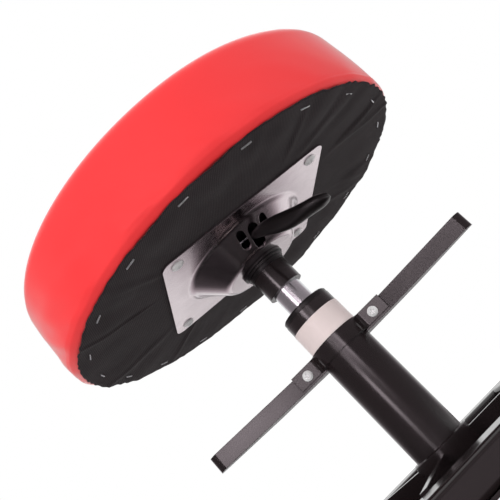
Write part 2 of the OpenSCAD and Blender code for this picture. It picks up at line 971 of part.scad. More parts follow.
// Round plywood board with screw holes.
module seat_board() {
    color(plywood_tan)
    difference() {
        disc(board_r, z_board, z_board_top);
        for (x = [-1, 1], y = [-1, 1])
            translate([x * screw_gap_x / 2, y * screw_gap_y / 2, 0])
            disc(tee_r + sheet_gap, z_board - board_t, z_board_top + board_t);
        staple_legs(fit_gap);
    }
}

// Wavy-edged black cloth closing the underside.
module dust_cover() {
    color(cloth_black)
    difference() {
        intersection() {
            rotate_extrude()
            polygon([
                [0, z_plate_top], [cloth_clear_r, z_plate_top], [wrap_r, z_lip - cloth_t],
                [seat_r, z_lip - cloth_t], [seat_r, z_lip - sheet_gap], [wrap_r, z_lip - sheet_gap],
                [cloth_clear_r, z_board], [0, z_board]
            ]);
            translate([0, 0, z_plate])
            linear_extrude(board_t)
            polygon([
                for (i = [0 : wave_points * cloth_waves - 1])
                    let (a = full_turn * i / (wave_points * cloth_waves))
                    let (r = cloth_r + cloth_wave * cos(cloth_waves * a))
                    [r * cos(a), r * sin(a)]
            ]);
        }
        for (x = [-1, 1], y = [-1, 1])
            translate([x * screw_gap_x / 2, y * screw_gap_y / 2, 0])
            disc(screw_r + fit_gap, z_plate, z_board_top);
        staple_legs(fit_gap);
    }
}

// Places its children at every staple, pointing along the rim.
module at_staples() {
    for (i = [0 : staples_n - 1])
        rotate([0, 0, (i + half_share) * full_turn / staples_n])
        translate([staple_r, 0, 0])
        children();
}

// Legs of the staples, or the holes they leave.
module staple_legs(extra) {
    at_staples()
    for (end = [-1, 1])
        translate([0, end * (staple_len - staple_wire) / 2, z_lip - cloth_t - extra + staple_deep / 2])
        cube([staple_wire + 2 * extra, staple_wire + 2 * extra, staple_deep + 2 * extra], center = true);
}

module staples() {
    color(bright_zinc)
    union() {
        staple_legs(0);
        at_staples()
        translate([0, 0, z_lip - cloth_t - staple_wire / 2])
        cube([staple_wire, staple_len, staple_wire], center = true);
    }
}

// Section line of the cushion skin, pulled in by the given amount.
function skin_line(inset) = let (
        lip_x = seat_r - lip_r,
        lip_z = z_lip + lip_r,
        top_z = lip_z + wall_h,
        flat_r = seat_r - shoulder_r,
        crown_r = (flat_r * flat_r + crown_h * crown_h) / (2 * crown_h)
    ) concat(
        [[wrap_r, z_lip + inset]],
        arc(lip_x, lip_z, lip_r - inset, -quarter_turn, 0),
        [for (i = [1 : arc_steps - 1])
            [seat_r - inset + wall_swell * sin(half_turn * i / arc_steps), lip_z + wall_h * i / arc_steps]],
        arc(flat_r, top_z, shoulder_r - inset, 0, quarter_turn),
        [for (i = [arc_steps - 1 : -1 : 0])
            let (x = flat_r * i / arc_steps)
            [x, top_z + shoulder_r + crown_h - inset - (crown_r - sqrt(crown_r * crown_r - x * x))]]
    );

// Red vinyl skin drawn over the foam and wrapped under the board.
module vinyl_cover() {
    color(vinyl_red)
    difference() {
        rotate_extrude()
        polygon(concat(skin_line(0), backwards(skin_line(cover_t))));
        staple_legs(fit_gap);
    }
}

// Foam pad on the board, wrapped round the board's edge.
module foam_pad() {
    foam_in = cover_t + soft_gap;
    pad = skin_line(foam_in);
    color(foam_cream)
    difference() {
        rotate_extrude()
        polygon(concat(
            [[board_r + soft_gap, z_lip + lip_r]],
            [for (p = pad) if (p[1] > z_lip + lip_r) p],
            [[0, z_board_top + soft_gap], [board_r + soft_gap, z_board_top + soft_gap]]
        ));
        for (x = [-1, 1], y = [-1, 1])
            translate([x * screw_gap_x / 2, y * screw_gap_y / 2, 0])
            disc(tee_flange_r + soft_gap, z_board, z_board_top + tee_flange_t + soft_gap);
    }
}

// Puts its children at one caster's upright pin.
module at_caster(i) {
    translate([caster_corners[i][0] * caster_at, caster_corners[i][1] * caster_at, 0])
    children();
}

// Fixed stems with their cups, under the corners of the tray.
module caster_stems() {
    color(bright_zinc)
    for (i = [0 : 3])
        at_caster(i)
        union() {
            disc(pin_head_r, z_pin_head, z_pin_head + pin_head_t);
            disc(pin_r, z_pin_head, z_cup);
            disc(cup_r, z_cup, z_tray);
            disc(stem_r, z_tray, z_rail + stem_up);
        }
}

module stem_nuts() {
    color(bright_zinc)
    for (i = [0 : 3])
        at_caster(i)
        difference() {
            translate([0, 0, z_rail + rail_wall]) cylinder(r = stem_nut_r, h = stem_nut_t, $fn = hex_sides);
            disc(stem_r + slip_gap, z_tray, z_rail_top);
        }
}

// Swivelling fork of one caster.
module fork(i) {
    color(bright_zinc)
    at_caster(i)
    rotate([0, 0, caster_turn])
    difference() {
        union() {
            disc(fork_plate_r, z_fork, z_fork_top);
            for (side = [-1, 1])
                translate([0, side * (fork_in + fork_t / 2) + fork_t / 2, 0])
                rotate([quarter_turn, 0, 0])
                linear_extrude(fork_t)
                union() {
                    polygon([
                        [-fork_boss_r, z_fork_top], [fork_boss_r, z_fork_top],
                        [trail + fork_boss_r, z_axle], [trail - fork_boss_r, z_axle]
                    ]);
                    translate([trail, z_axle]) circle(fork_boss_r);
                }
        }
        disc(pin_r + fit_gap, z_axle, caster_h);
        translate([trail, 0, z_axle])
        rotate([quarter_turn, 0, 0])
        cylinder(r = axle_bore_r, h = 2 * (fork_in + fork_boss_r), center = true);
    }
}

// Axle bolt with a head and a nut outside the fork.
module axle(i) {
    span = 2 * (fork_in + fork_t);
    color(bright_zinc)
    at_caster(i)
    rotate([0, 0, caster_turn])
    translate([trail, 0, z_axle])
    rotate([quarter_turn, 0, 0])
    union() {
        cylinder(r = axle_r, h = span + 2 * axle_head_t, center = true);
        for (side = [-1, 1])
            translate([0, 0, side * (span / 2 + axle_head_t / 2)])
            cylinder(r = axle_head_r, h = axle_head_t, center = true, $fn = hex_sides);
    }
}

// Hard wheel core with a rim groove for the tyre.
module wheel(i) {
    web = wheel_w / 4;
    color(core_grey)
    at_caster(i)
    rotate([0, 0, caster_turn])
    translate([trail, 0, z_axle])
    rotate([quarter_turn, 0, 0])
    rotate_extrude()
    polygon([
        [axle_bore_r, -wheel_w / 2 - fork_t / 2], [axle_r + fork_t, -wheel_w / 2 - fork_t / 2],
        [axle_r + 2 * fork_t, -web], [core_r - fork_t, -web], [core_r - fork_t, -wheel_w / 2 + fork_t / 2],
        [core_r, -wheel_w / 2 + fork_t / 2], [core_r, wheel_w / 2 - fork_t / 2],
        [core_r - fork_t, wheel_w / 2 - fork_t / 2], [core_r - fork_t, web], [axle_r + 2 * fork_t, web],
        [axle_r + fork_t, wheel_w / 2 + fork_t / 2], [axle_bore_r, wheel_w / 2 + fork_t / 2]
    ]);
}

// Rubber tyre with rounded shoulders.
module tyre(i) {
    round_r = tyre_t / 2;
    color(rubber_grey)
    at_caster(i)
    rotate([0, 0, caster_turn])
    translate([trail, 0, z_axle])
    rotate([quarter_turn, 0, 0])
    rotate_extrude()
    polygon(concat(
        [[core_r, -wheel_w / 2]],
        arc(wheel_r - round_r, -wheel_w / 2 + round_r, round_r, -quarter_turn, 0),
        arc(wheel_r - round_r, wheel_w / 2 - round_r, round_r, 0, quarter_turn),
        [[core_r, wheel_w / 2]]
    ));
}

front_rail();
back_rail();
left_rail();
right_rail();
tray_floor();
tray_dividers();
hub_socket();
column_tube();
guide_bush();
blank_label();
strap();
cross_bar();
clamp_screws();
clamp_nuts();
lower_race();
caster_stems();
stem_nuts();
piston_rod();
piston();
rod_clip();
upper_race();
race_balls();
gas_cylinder();
rod_gland();
valve_block();
valve_button();
socket_tube();
collar_ring();
seat_plate();
plate_screws();
tee_nuts();
lever_bracket();
pivot_rod();
height_lever();
seat_board();
dust_cover();
staples();
foam_pad();
vinyl_cover();
fork(0);  // front_left_fork
fork(1);  // front_right_fork
fork(2);  // back_left_fork
fork(3);  // back_right_fork
axle(0);  // front_left_axle
axle(1);  // front_right_axle
axle(2);  // back_left_axle
axle(3);  // back_right_axle
wheel(0);  // front_left_wheel
wheel(1);  // front_right_wheel
wheel(2);  // back_left_wheel
wheel(3);  // back_right_wheel
tyre(0);  // front_left_tyre
tyre(1);  // front_right_tyre
tyre(2);  // back_left_tyre
tyre(3);  // back_right_tyre
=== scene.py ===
# %% [markdown]
# # Creeper seat
# A mechanic's stool: a red vinyl cushion on a gas column, a bright pressed plate with a release lever, a
# cross bar clamped to the column and a square tray on casters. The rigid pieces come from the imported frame
# and only get their finishes here. The cushion, the cloth under it and the moulded lever are built here.

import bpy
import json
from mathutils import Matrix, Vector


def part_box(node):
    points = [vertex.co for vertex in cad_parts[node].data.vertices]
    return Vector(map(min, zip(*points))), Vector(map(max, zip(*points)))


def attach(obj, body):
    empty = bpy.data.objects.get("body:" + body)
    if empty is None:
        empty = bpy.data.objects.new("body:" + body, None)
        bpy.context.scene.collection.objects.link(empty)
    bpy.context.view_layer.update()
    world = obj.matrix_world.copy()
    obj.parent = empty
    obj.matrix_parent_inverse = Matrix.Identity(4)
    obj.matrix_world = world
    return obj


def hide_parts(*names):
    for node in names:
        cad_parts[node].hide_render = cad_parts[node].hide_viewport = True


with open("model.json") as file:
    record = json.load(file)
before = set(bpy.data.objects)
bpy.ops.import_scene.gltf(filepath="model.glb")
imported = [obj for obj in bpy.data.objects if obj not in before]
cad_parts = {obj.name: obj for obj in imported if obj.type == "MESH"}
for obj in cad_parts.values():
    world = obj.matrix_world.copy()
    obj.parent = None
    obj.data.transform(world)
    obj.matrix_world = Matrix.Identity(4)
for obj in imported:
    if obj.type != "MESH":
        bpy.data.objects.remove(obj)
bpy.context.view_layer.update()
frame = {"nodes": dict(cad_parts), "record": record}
nodes = frame["nodes"]
print("nodes in the frame:", len(nodes))

# %% Tools of the trade
import json
import math

import bpy
from mathutils import Matrix, Vector, noise

MM = 0.001
FULL_TURN = 2 * math.pi

# %% [markdown]
# ## Sizes
# Heights and the edge of the cloth are read from the frame, so the pieces built here follow it. The
# cushion's radius and its roundings repeat the values of the part's source.

# %% Sizes read from the frame
seat_low, seat_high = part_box("vinyl_cover")
board_low, board_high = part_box("seat_board")
cloth_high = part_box("dust_cover")[1]
lever_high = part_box("height_lever")[1]
seat_r = 187.3 * MM
lip_r = 4 * MM
wrap_in = 24 * MM
shoulder_r = 18 * MM
crown_h = 5 * MM
wall_swell = 1.2 * MM
lip_z = seat_low.z
seat_top = seat_high.z
wall_h = seat_top - lip_z - lip_r - shoulder_r - crown_h
print("cushion from", round(lip_z / MM, 1), "to", round(seat_top / MM, 1), "mm, wall", round(wall_h / MM, 1))

# %% [markdown]
# ## Colours and nodes
# Colours are written as the sRGB hex values that a paint chart or a picture shows, and one function turns
# them into the linear values that shaders count in. One function adds a shader node with its settings.

# %% Colour and node helpers
def linear(hex_colour):
    """An sRGB hex value, such as C81E28, as linear red, green, blue and alpha."""
    channels = [int(hex_colour[i:i + 2], 16) / 255 for i in (0, 2, 4)]
    return [c / 12.92 if c <= 0.04045 else ((c + 0.055) / 1.055) ** 2.4 for c in channels] + [1.0]


def add(tree, kind, inputs=None, **settings):
    """Adds one node: settings are its own properties, inputs are values or sockets for its inputs."""
    made = tree.nodes.new("ShaderNode" + kind)
    for key, value in settings.items():
        setattr(made, key, value)
    for key, value in (inputs or {}).items():
        if isinstance(value, bpy.types.NodeSocket):
            tree.links.new(value, made.inputs[key])
        else:
            made.inputs[key].default_value = value
    return made


def start_material(name, **surface):
    """A new material with its shader, and the place on the object in metres."""
    material = bpy.data.materials.new(name)
    material.use_nodes = True
    tree = material.node_tree
    shader = tree.nodes["Principled BSDF"]
    for key, value in surface.items():
        shader.inputs[key.replace("_", " ")].default_value = value
    place = add(tree, "TexCoord").outputs["Object"]
    return material, tree, shader, place


# %% [markdown]
# ## Red vinyl
# The cover is PVC-coated knit fabric, calendered against an embossing roll. That gives a soft, slightly
# milky gloss with a fine leather-like grain about 1 mm across. The gloss comes from a moderate roughness,
# the pale look at low angles from a sheen, and the grain from cells in the bump.

# %% Red vinyl material
def make_red_vinyl():
    material, tree, shader, place = start_material("embossed_pvc_vinyl", Roughness=0.5, IOR=1.53)
    grain_size = 1.1 * MM
    drift = add(tree, "TexNoise", {"Vector": place, "Scale": 1 / (60 * MM), "Detail": 3.0})
    tone = add(tree, "Mix", {"Factor": drift.outputs["Fac"], "A": linear("FB2E32"), "B": linear("FF393C")},
               data_type="RGBA")
    tree.links.new(tone.outputs["Result"], shader.inputs["Base Color"])
    cells = add(tree, "TexVoronoi", {"Vector": place, "Scale": 1 / grain_size}, feature="DISTANCE_TO_EDGE")
    creases = add(tree, "MapRange", {"Value": cells.outputs["Distance"], "From Max": 0.25})
    soft = add(tree, "TexNoise", {"Vector": place, "Scale": 1 / (9 * MM), "Detail": 4.0})
    height = add(tree, "Math", {0: creases.outputs["Result"], 1: soft.outputs["Fac"]}, operation="ADD")
    bump = add(tree, "Bump", {"Height": height.outputs[0], "Strength": 0.2, "Distance": 0.1 * MM})
    tree.links.new(bump.outputs["Normal"], shader.inputs["Normal"])
    rub = add(tree, "MapRange", {"Value": drift.outputs["Fac"], "To Min": 0.46, "To Max": 0.58})
    tree.links.new(rub.outputs["Result"], shader.inputs["Roughness"])
    shader.inputs["Specular IOR Level"].default_value = 0.35
    shader.inputs["Sheen Weight"].default_value = 0.9
    shader.inputs["Sheen Roughness"].default_value = 0.3
    return material


# %% [markdown]
# ## Black cambric
# The dust cover is thin black cambric: plain-woven threads with a light fuzz. It has almost no gloss, a
# faint sheen at low angles and a weave of about 0.7 mm, drawn here at 1.6 mm so that it still shows.

# %% Black cambric material
def make_black_cambric():
    material, tree, shader, place = start_material("woven_black_cambric", Roughness=0.9, IOR=1.5)
    thread = 1.6 * MM
    warp = add(tree, "TexWave", {"Vector": place, "Scale": FULL_TURN / (20 * thread), "Distortion": 0.6,
                                 "Detail Scale": 30.0}, bands_direction="X")
    weft = add(tree, "TexWave", {"Vector": place, "Scale": FULL_TURN / (20 * thread), "Distortion": 0.6,
                                 "Detail Scale": 30.0}, bands_direction="Y")
    weave = add(tree, "Math", {0: warp.outputs["Fac"], 1: weft.outputs["Fac"]}, operation="MULTIPLY")
    cloud = add(tree, "TexNoise", {"Vector": place, "Scale": 1 / (25 * MM), "Detail": 5.0})
    mixed = add(tree, "Math", {0: weave.outputs[0], 1: cloud.outputs["Fac"]}, operation="MULTIPLY")
    tone = add(tree, "Mix", {"Factor": mixed.outputs[0], "A": linear("1F181B"), "B": linear("5E5155")},
               data_type="RGBA")
    tree.links.new(tone.outputs["Result"], shader.inputs["Base Color"])
    bump = add(tree, "Bump", {"Height": weave.outputs[0], "Strength": 0.5, "Distance": 0.25 * MM})
    tree.links.new(bump.outputs["Normal"], shader.inputs["Normal"])
    shader.inputs["Sheen Weight"].default_value = 0.08
    shader.inputs["Sheen Roughness"].default_value = 0.5
    shader.inputs["Specular IOR Level"].default_value = 0.25
    return material


# %% [markdown]
# ## Bright plated sheet
# The seat plate is cold-rolled sheet, pressed and then nickel plated. Rolling leaves fine streaks along one
# direction and pressing leaves a gentle unevenness, so reflections are clear but never mirror-sharp.

# %% Bright plated sheet material
def make_plated_sheet():
    material, tree, shader, place = start_material("nickel_plated_sheet", Metallic=1.0, Roughness=0.2)
    streak_space = add(tree, "Mapping", {"Vector": place, "Scale": (1.0, 30.0, 1.0)})
    streaks = add(tree, "TexNoise", {"Vector": streak_space.outputs["Vector"], "Scale": 1 / (25 * MM),
                                     "Detail": 6.0, "Roughness": 0.6})
    haze = add(tree, "TexNoise", {"Vector": place, "Scale": 1 / (18 * MM), "Detail": 4.0})
    tone = add(tree, "Mix", {"Factor": haze.outputs["Fac"], "A": linear("C6BBBF"), "B": linear("DCD2D6")},
               data_type="RGBA")
    tree.links.new(tone.outputs["Result"], shader.inputs["Base Color"])
    polish = add(tree, "MapRange", {"Value": streaks.outputs["Fac"], "To Min": 0.12, "To Max": 0.3})
    tree.links.new(polish.outputs["Result"], shader.inputs["Roughness"])
    edge = add(tree, "Bevel", {"Radius": 0.5 * MM}, samples=4)
    bump = add(tree, "Bump", {"Height": haze.outputs["Fac"], "Strength": 0.02, "Distance": 0.4 * MM,
                              "Normal": edge.outputs["Normal"]})
    tree.links.new(bump.outputs["Normal"], shader.inputs["Normal"])
    return material


# %% [markdown]
# ## Chrome, zinc and bare steel
# The gas cylinder is ground and hard chromed, so it mirrors its surroundings with only a trace of grinding.
# Casters and nuts are zinc plated in a barrel, which leaves a bluish, slightly cloudy brightness. The
# screws are zinc too, but drawn nearly white and barely metallic: a painted highlight. The parts inside the
# spring are plain turned steel.

# %% Metal materials
def make_metal(name, dark, light, cloud_size, low, high, edge_r=0.3 * MM, metallic=1.0):
    """A metal whose colour and polish drift between two values over cloud_size."""
    material, tree, shader, place = start_material(name, Metallic=metallic, Roughness=low)
    cloud = add(tree, "TexNoise", {"Vector": place, "Scale": 1 / cloud_size, "Detail": 5.0})
    tone = add(tree, "Mix", {"Factor": cloud.outputs["Fac"], "A": linear(dark), "B": linear(light)},
               data_type="RGBA")
    tree.links.new(tone.outputs["Result"], shader.inputs["Base Color"])
    polish = add(tree, "MapRange", {"Value": cloud.outputs["Fac"], "To Min": low, "To Max": high})
    tree.links.new(polish.outputs["Result"], shader.inputs["Roughness"])
    edge = add(tree, "Bevel", {"Radius": edge_r}, samples=4)
    bump = add(tree, "Bump", {"Height": cloud.outputs["Fac"], "Strength": 0.1, "Distance": 0.1 * MM,
                              "Normal": edge.outputs["Normal"]})
    tree.links.new(bump.outputs["Normal"], shader.inputs["Normal"])
    return material


# %% [markdown]
# ## Black powder coat
# The tray, the column and the bar are steel with a baked black polyester powder. The powder flows before it
# hardens, which leaves a satin skin with a very shallow orange-peel ripple about 2 mm across.

# %% Powder coat material
def make_powder_coat():
    material, tree, shader, place = start_material("black_powder_coat", Roughness=0.18, IOR=1.52,
                                                   Specular_IOR_Level=0.62)
    peel = add(tree, "TexNoise", {"Vector": place, "Scale": 1 / (2.2 * MM), "Detail": 2.0})
    cloud = add(tree, "TexNoise", {"Vector": place, "Scale": 1 / (70 * MM), "Detail": 4.0})
    tone = add(tree, "Mix", {"Factor": cloud.outputs["Fac"], "A": linear("191314"), "B": linear("271F20")},
               data_type="RGBA")
    tree.links.new(tone.outputs["Result"], shader.inputs["Base Color"])
    satin = add(tree, "MapRange", {"Value": cloud.outputs["Fac"], "To Min": 0.15, "To Max": 0.22})
    tree.links.new(satin.outputs["Result"], shader.inputs["Roughness"])
    edge = add(tree, "Bevel", {"Radius": 0.7 * MM}, samples=4)
    bump = add(tree, "Bump", {"Height": peel.outputs["Fac"], "Strength": 0.03, "Distance": 0.1 * MM,
                              "Normal": edge.outputs["Normal"]})
    tree.links.new(bump.outputs["Normal"], shader.inputs["Normal"])
    return material


# %% [markdown]
# ## Moulded plastics, film and rubber
# The lever, the bushes and the collar are injection-moulded nylon with a spark-eroded grain of about
# 0.5 mm. The wheel cores are polypropylene, the band round the column is satin polyester film, and the tyres
# are moulded rubber with a dry, dusty face.

# %% Plastic, film and rubber materials
def make_moulded(name, dark, light, grain, low, high, depth, ior=1.5, edge_r=0.4 * MM):
    """A moulded surface with a fine grain in its bump and a slow drift in tone and gloss."""
    material, tree, shader, place = start_material(name, Roughness=low, IOR=ior)
    fine = add(tree, "TexNoise", {"Vector": place, "Scale": 1 / grain, "Detail": 3.0})
    cloud = add(tree, "TexNoise", {"Vector": place, "Scale": 1 / (35 * MM), "Detail": 4.0})
    tone = add(tree, "Mix", {"Factor": cloud.outputs["Fac"], "A": linear(dark), "B": linear(light)},
               data_type="RGBA")
    tree.links.new(tone.outputs["Result"], shader.inputs["Base Color"])
    gloss = add(tree, "MapRange", {"Value": cloud.outputs["Fac"], "To Min": low, "To Max": high})
    tree.links.new(gloss.outputs["Result"], shader.inputs["Roughness"])
    edge = add(tree, "Bevel", {"Radius": edge_r}, samples=4)
    bump = add(tree, "Bump", {"Height": fine.outputs["Fac"], "Strength": 0.3, "Distance": depth,
                              "Normal": edge.outputs["Normal"]})
    tree.links.new(bump.outputs["Normal"], shader.inputs["Normal"])
    return material


# %% [markdown]
# ## Plywood
# The seat board is rotary-cut plywood. It hides behind the cloth, but the edges of its plies and its long
# grain are drawn, in case someone lifts the cushion off.

# %% Plywood material
def make_plywood():
    material, tree, shader, place = start_material("rotary_cut_plywood", Roughness=0.65, IOR=1.5)
    along = add(tree, "Mapping", {"Vector": place, "Scale": (1.0, 12.0, 1.0)})
    grain = add(tree, "TexNoise", {"Vector": along.outputs["Vector"], "Scale": 1 / (30 * MM), "Detail": 8.0,
                                   "Distortion": 0.8})
    ply = 2.4 * MM
    plies = add(tree, "TexWave", {"Vector": place, "Scale": FULL_TURN / (20 * ply)}, bands_direction="Z")
    mixed = add(tree, "Math", {0: grain.outputs["Fac"], 1: plies.outputs["Fac"]}, operation="MULTIPLY")
    tone = add(tree, "Mix", {"Factor": mixed.outputs[0], "A": linear("9C7A4F"), "B": linear("D9BE92")},
               data_type="RGBA")
    tree.links.new(tone.outputs["Result"], shader.inputs["Base Color"])
    bump = add(tree, "Bump", {"Height": grain.outputs["Fac"], "Strength": 0.3, "Distance": 0.3 * MM})
    tree.links.new(bump.outputs["Normal"], shader.inputs["Normal"])
    return material


# %% [markdown]
# ## Dressing the rigid pieces
# The record names a material slot for each node, so one table of finishes, sorted by slot, dresses them all.
# Only the screws get a finish of their own, nearly white, which is a painted highlight on their zinc.

# %% Finishes by material slot
finishes = {
    "red_vinyl": make_red_vinyl(),
    "black_cloth": make_black_cambric(),
    "bright_plate": make_plated_sheet(),
    "chrome": make_metal("hard_chrome", "D3D5D8", "E6E7EA", 40 * MM, 0.18, 0.26),
    "bright_zinc": make_metal("barrel_zinc", "DCDEE2", "F4F5F6", 6 * MM, 0.38, 0.52, metallic=0.8),
    "plain_steel": make_metal("turned_steel", "8F9194", "B4B6B8", 8 * MM, 0.3, 0.45),
    "black_powder": make_powder_coat(),
    "black_plastic": make_moulded("moulded_nylon", "110D0E", "1B1617", 0.5 * MM, 0.28, 0.38, 0.03 * MM),
    "pale_label": make_moulded("satin_film", "F1DEDC", "F8E8E6", 3 * MM, 0.35, 0.45, 0.01 * MM),
    "grey_core": make_moulded("polypropylene", "434446", "505154", 0.6 * MM, 0.4, 0.5, 0.05 * MM, ior=1.49),
    "black_tyre": make_moulded("moulded_rubber", "161616", "242323", 1.2 * MM, 0.7, 0.85, 0.15 * MM,
                               ior=1.52),
    "plywood": make_plywood(),
    "cream_foam": make_moulded("cut_foam", "E2D3AE", "F0E6C8", 1.0 * MM, 0.9, 0.95, 0.4 * MM),
}
print("finishes:", len(finishes))

# %% Dress the rigid nodes
def dress(piece, finish):
    piece.data.materials.clear()
    piece.data.materials.append(finish)


for part in frame["record"]["subparts"]:
    dress(nodes[part["node"]], finishes[part["material_slot"]])
# The screws' near-white colour with little metal is a painted highlight, not the colour of zinc.
screw_zinc_painted_highlight = make_metal("zinc_with_painted_highlight", "F4F3F5", "FFFFFF", 2 * MM, 0.25, 0.4, metallic=0.12)
for name in ("plate_screws", "clamp_screws"):
    dress(nodes[name], screw_zinc_painted_highlight)

# %% [markdown]
# ## Meshes turned on the column's axis
# The cushion and the cloth are both round, so one function turns a section line into a mesh and lets a
# second function move each ring point, which is where folds and puckers come in.

# %% Turn a section into a mesh
def link_mesh(name, points, faces):
    """A smooth-shaded object from points and faces."""
    mesh = bpy.data.meshes.new(name)
    mesh.from_pydata(points, [], faces)
    mesh.polygons.foreach_set("use_smooth", [True] * len(mesh.polygons))
    piece = bpy.data.objects.new(name, mesh)
    bpy.context.scene.collection.objects.link(piece)
    return piece


def turned(name, section, segments, moved, closed_ends):
    """A mesh made by turning (radius, height) points. moved(angle, radius, height) gives each point."""
    points = []
    for radius, height in section:
        for k in range(segments):
            angle = FULL_TURN * k / segments
            r, z = moved(angle, radius, height)
            points.append((r * math.cos(angle), r * math.sin(angle), z))
    faces = []
    for start in range(0, (len(section) - 1) * segments, segments):
        for k in range(segments):
            n = (k + 1) % segments
            faces.append((start + k, start + n, start + segments + n, start + segments + k))
    for ring in closed_ends:
        middle = len(points)
        points.append((0.0, 0.0, section[ring][1]))
        for k in range(segments):
            n = (k + 1) % segments
            pair = (ring * segments + k, ring * segments + n)
            faces.append((middle, pair[0], pair[1]) if ring else (middle, pair[1], pair[0]))
    return link_mesh(name, points, faces)


def arc(cx, cz, r, start, end, steps):
    """Points on an arc, from start to end in degrees."""
    return [(cx + r * math.cos(math.radians(start + (end - start) * i / steps)),
             cz + r * math.sin(math.radians(start + (end - start) * i / steps))) for i in range(steps + 1)]


def smooth(low, high, value):
    """0 below low, 1 above high, and an even climb between."""
    t = min(1.0, max(0.0, (value - low) / (high - low)))
    return t * t * (3 - 2 * t)


def between(table, value):
    """Reads a table of (place, size) pairs, with straight lines between them."""
    for (a, low), (b, high) in zip(table, table[1:]):
        if value <= b:
            return low + (high - low) * max(0.0, value - a) / (b - a)
    return table[-1][1]


# %% [markdown]
# ## The cushion
# The vinyl is pulled over a round foam pad and gathered under the board, so the wall is tight and even, the
# top edge is rounded and the middle is crowned. Near the bottom rim the spare width has to go somewhere: it
# makes short upright pleats over the lip, and on one side a few long, flat pull wrinkles. That side is also
# a little fuller than the other, as the outline in the picture shows. The cover is tight and the folds are
# shallow, so they are sculpted with a formula in the turned mesh, in the places where the picture has them.

# %% Cushion section
under_steps, lip_steps, fine_steps, wall_steps, shoulder_steps, crown_steps = 8, 8, 11, 18, 10, 24


def cushion_section():
    """The outline as (radius, height), from the recess under the board to the middle of the top."""
    top_z = lip_z + lip_r + wall_h
    flat_r = seat_r - shoulder_r
    crown_r = (flat_r ** 2 + crown_h ** 2) / (2 * crown_h)
    recess_z = (board_low.z + board_high.z) / 2
    under = [(seat_r - wrap_in, recess_z)]
    under += [(seat_r - wrap_in + i * (wrap_in - lip_r) / under_steps, lip_z) for i in range(under_steps)]
    lip = arc(seat_r - lip_r, lip_z + lip_r, lip_r, -90, 0, lip_steps)
    rises = [i * MM for i in range(1, fine_steps + 1)]
    rises += [rises[-1] + (wall_h - rises[-1]) * i / wall_steps for i in range(1, wall_steps)]
    wall = []
    for rise in rises:
        wall.append((seat_r + wall_swell * math.sin(math.pi * rise / wall_h), lip_z + lip_r + rise))
    shoulder = arc(flat_r, top_z, shoulder_r, 0, 90, shoulder_steps)
    crown = []
    for i in range(crown_steps - 1, 0, -1):
        r = flat_r * i / crown_steps
        crown.append((r, top_z + shoulder_r + crown_h - (crown_r - math.sqrt(crown_r ** 2 - r ** 2))))
    return under + lip + wall + shoulder + crown


section = cushion_section()
print("cushion section points:", len(section))

# %% [markdown]
# ## The folds of the cushion
# All depths and heights here are in mm. A zone is a pair of heights above the rim, between which a form
# comes in or fades. The fuller side is given by its direction seen from above, and its zone says how squarely
# a point has to face that way.

# %% Cushion
lip_zone, slack_zone = (4, 26), (0, 12)
pull_begins, pull_fades = (3, 10), (30, 58)
bulge_begins, bulge_fades = (-1, 9), (68, 84)
fuller_x, fuller_y, fuller_zone = -0.85, -0.5, (-0.2, 0.75)
pleat_depth, pleat_count = 0.5, 26
pull_depth, pull_count, pull_lean, pull_length = 2.0, 8.0, 22, 30
slack_depth, slack_length = 0.7, 45
welt_depth, welt_height, welt_wander, welt_half = 0.6, 4.6, 0.8, 1.3
low_bulge, low_bulge_height, low_bulge_spread = 1.3, 10, 26
side_bulge = 2.8


def ripple(side, count, shift=0.0):
    """Soft noise round the column: count sets how close its waves stand, shift picks another pattern."""
    return noise.noise(side * count + Vector((0, 0, shift)))


def cushion_moved(angle, radius, height):
    """Moves a point of a ring outwards by its pleats, pull wrinkles, slack, welt and bulge."""
    above = (height - lip_z) / MM
    side = Vector((math.cos(angle), math.sin(angle), 0.0))
    fuller = smooth(*fuller_zone, side.x * fuller_x + side.y * fuller_y)
    near_lip = 1 - smooth(*lip_zone, above)
    even_pleats = math.sin(pleat_count * angle + 2 * ripple(side, count=4))
    pleats = ripple(side, count=9, shift=3.1) * 0.9 + 0.35 * even_pleats
    pull = noise.noise(Vector((angle * pull_count + above / pull_lean, above / pull_length, 1.7)))
    pull_zone = smooth(*pull_begins, above) * (1 - smooth(*pull_fades, above)) * fuller
    slack = ripple(side, count=2.2, shift=above / slack_length)
    welt = math.exp(-((above - welt_height - welt_wander * ripple(side, count=3)) / welt_half) ** 2)
    low_part = low_bulge * math.exp(-((above - low_bulge_height) / low_bulge_spread) ** 2)
    bulge = low_part + side_bulge * fuller * (1 - smooth(*bulge_fades, above))
    bulge *= smooth(*bulge_begins, above)
    outward = (pleat_depth * near_lip * pleats + pull_depth * pull_zone * pull
               + slack_depth * slack * smooth(*slack_zone, above) + welt_depth * welt + bulge)
    outward *= MM
    return radius + outward * radius / seat_r, height


cushion_segments = 288
cushion = turned("red_cushion", section, cushion_segments, cushion_moved, (0, len(section) - 1))
cushion.data.materials.append(finishes["red_vinyl"])
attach(cushion, "seat")
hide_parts("vinyl_cover", "foam_pad")
print("cushion points:", len(cushion.data.vertices))

# %% [markdown]
# ## The cloth under the seat
# A round of black cambric closes the underside. The plate clamps it flat in the middle. Towards the rim it
# lies over the gathered vinyl, in long soft folds where it was pulled unevenly, with short puckers between
# the staples. Its edge is turned in by hand, so it wanders. It is one thin sheet of mesh with a thickness.
# The radii that say where it goes loose and the depths of its folds are in mm.

# %% Dust cover
staple_count = 18
edge_waves = 72
wider_than_cad = 2.0 * MM
cloth_edge = cloth_high.x + wider_than_cad
wrap_r = seat_r - wrap_in
cloth_t = 0.8 * MM
upper_z = board_low.z - cloth_t / 2
lower_z = lip_z - cloth_t / 2
step_in = 30 * MM
flat_from, flat_to, flat_step, loose_steps = 20, 96, 8, 34
loose_zone, pouch_zone = (flat_to, 135), (118, 160)
fold_depth, fold_width = 1.7, 0.08
crease_depth, fine_depth = 0.25, 0.1
pouch_mid, pouch_change = 1.3, 2.4
wave_depth, ragged_depth = 0.8, 0.6
picture_right = Vector((0.955, -0.297, 0.0))


